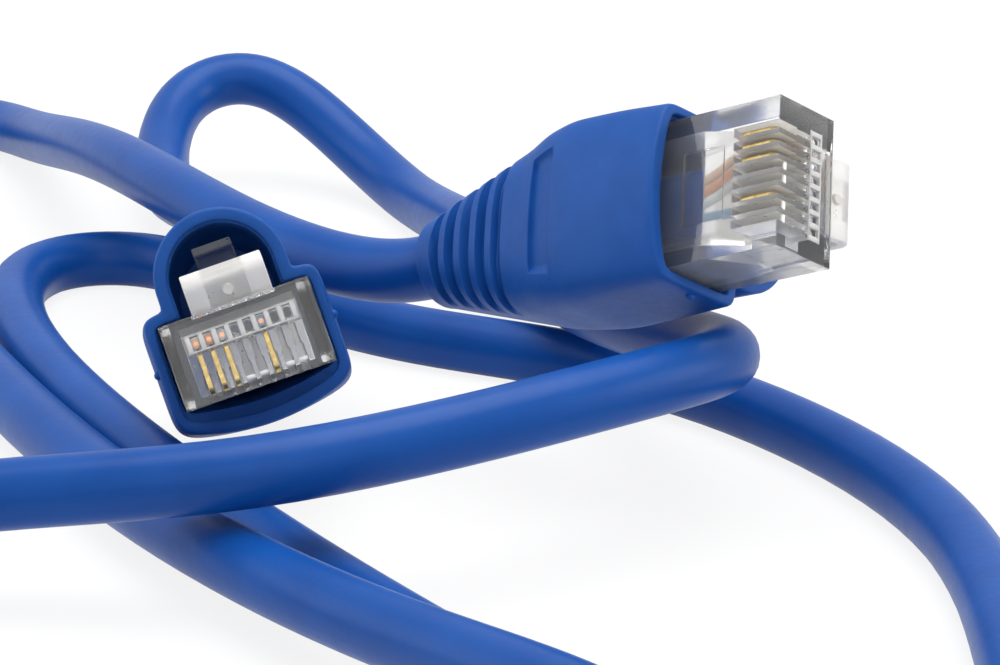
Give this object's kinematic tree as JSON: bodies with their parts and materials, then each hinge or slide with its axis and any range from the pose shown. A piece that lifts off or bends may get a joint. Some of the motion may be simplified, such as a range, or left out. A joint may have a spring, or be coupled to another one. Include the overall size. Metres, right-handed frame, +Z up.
{
  "type": "ethernet patch cable",
  "caption": "Round patch cord lying in loops, with a clear modular plug, sprung latch and ribbed hooded boot on each end.",
  "frame": {"origin": "on the floor under the middle of the whole lying cable, cord and plugs together", "axes": "+Z up from the floor, +X to the right and +Y away as the cable lies; the lay is longest along Y"},
  "size_m": [0.1063, 0.1898, 0.0333],
  "materials": {
    "cord_blue": "satin",
    "boot_blue": "satin, fine moulded grain",
    "clear_plastic": "clear polycarbonate",
    "gold_plate": "bright plating",
    "copper": "bare drawn wire",
    "wire_white_orange": "satin",
    "wire_orange": "satin",
    "wire_white_green": "satin",
    "wire_green": "satin"
  },
  "bodies": {
    "cable": {"cord": "cord_blue", "jacket_end_a": "cord_blue", "jacket_end_b": "cord_blue", "housing_a": "clear_plastic", "housing_b": "clear_plastic", "boot_a": "boot_blue", "boot_b": "boot_blue", "contact_a1": "gold_plate", "contact_a2": "gold_plate", "contact_a3": "gold_plate", "contact_a6": "gold_plate", "contact_b1": "gold_plate", "contact_b2": "gold_plate", "contact_b3": "gold_plate", "contact_b6": "gold_plate", "wire_a1": "wire_white_orange", "wire_a2": "wire_orange", "wire_a3": "wire_white_green", "wire_a6": "wire_green", "wire_b1": "wire_white_orange", "wire_b2": "wire_orange", "wire_b3": "wire_white_green", "wire_b6": "wire_green", "core_a1": "copper", "core_a2": "copper", "core_a3": "copper", "core_a6": "copper", "core_b1": "copper", "core_b2": "copper", "core_b3": "copper", "core_b6": "copper"},
    "latch_a": {"latch_a": "clear_plastic"},
    "latch_b": {"latch_b": "clear_plastic"}
  },
  "joints": [
    {"name": "latch_a_press", "type": "hinge", "parent": "cable", "child": "latch_a", "pos_m": [0.03999, -0.02042, 0.02505], "axis": [-0.0536, -0.5729, -0.8179], "range_deg": [-14, 0], "stiffness_Nm_per_rad": 0.1},
    {"name": "latch_b_press", "type": "hinge", "parent": "cable", "child": "latch_b", "pos_m": [-0.00381, -0.02479, 0.01841], "axis": [0.9406, 0.1698, 0.2939], "range_deg": [-14, 0], "stiffness_Nm_per_rad": 0.1}
  ]
}
